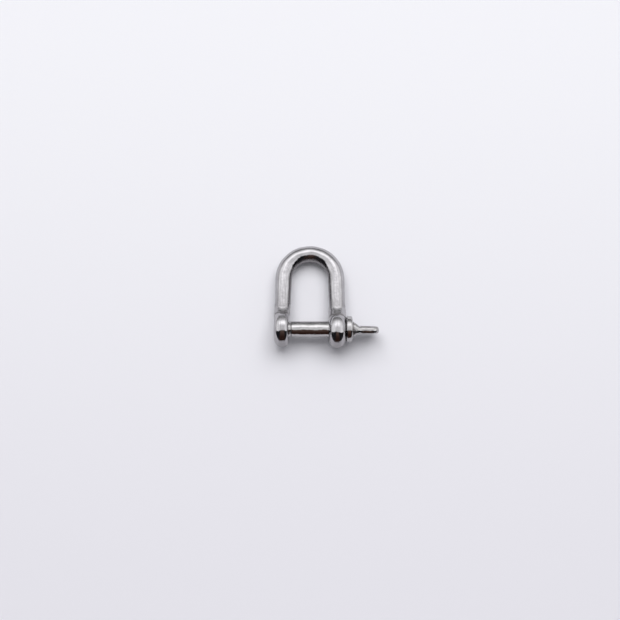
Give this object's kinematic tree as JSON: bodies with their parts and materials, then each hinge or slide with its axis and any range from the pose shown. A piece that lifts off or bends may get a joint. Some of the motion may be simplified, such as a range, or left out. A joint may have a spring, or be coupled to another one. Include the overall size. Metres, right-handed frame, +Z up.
{
  "type": "chain joining shackle",
  "caption": "D-shaped shackle: a bow of round bar ending in eyes, closed by a screw pin with a collar and a flattened, drilled head; joins chain to chain or to a fitting.",
  "frame": {"origin": "on the pin's axis, midway between the outer faces of the eyes", "axes": "+X along the pin towards its head, +Y level, towards the bend of the bow, +Z up; the part lies as it comes to rest, on both eyes and the back of the bend"},
  "size_m": [0.0314, 0.0316, 0.0108],
  "materials": {
    "bow_steel": "polished",
    "pin_steel": "polished"
  },
  "bodies": {
    "bow": {"shackle_body": "bow_steel"},
    "pin": {"screw_pin": "pin_steel"}
  },
  "joints": [
    {"name": "pin_withdraw", "type": "slide", "parent": "bow", "child": "pin", "axis": [1, 0, 0], "range_m": [0, 0.022]}
  ]
}
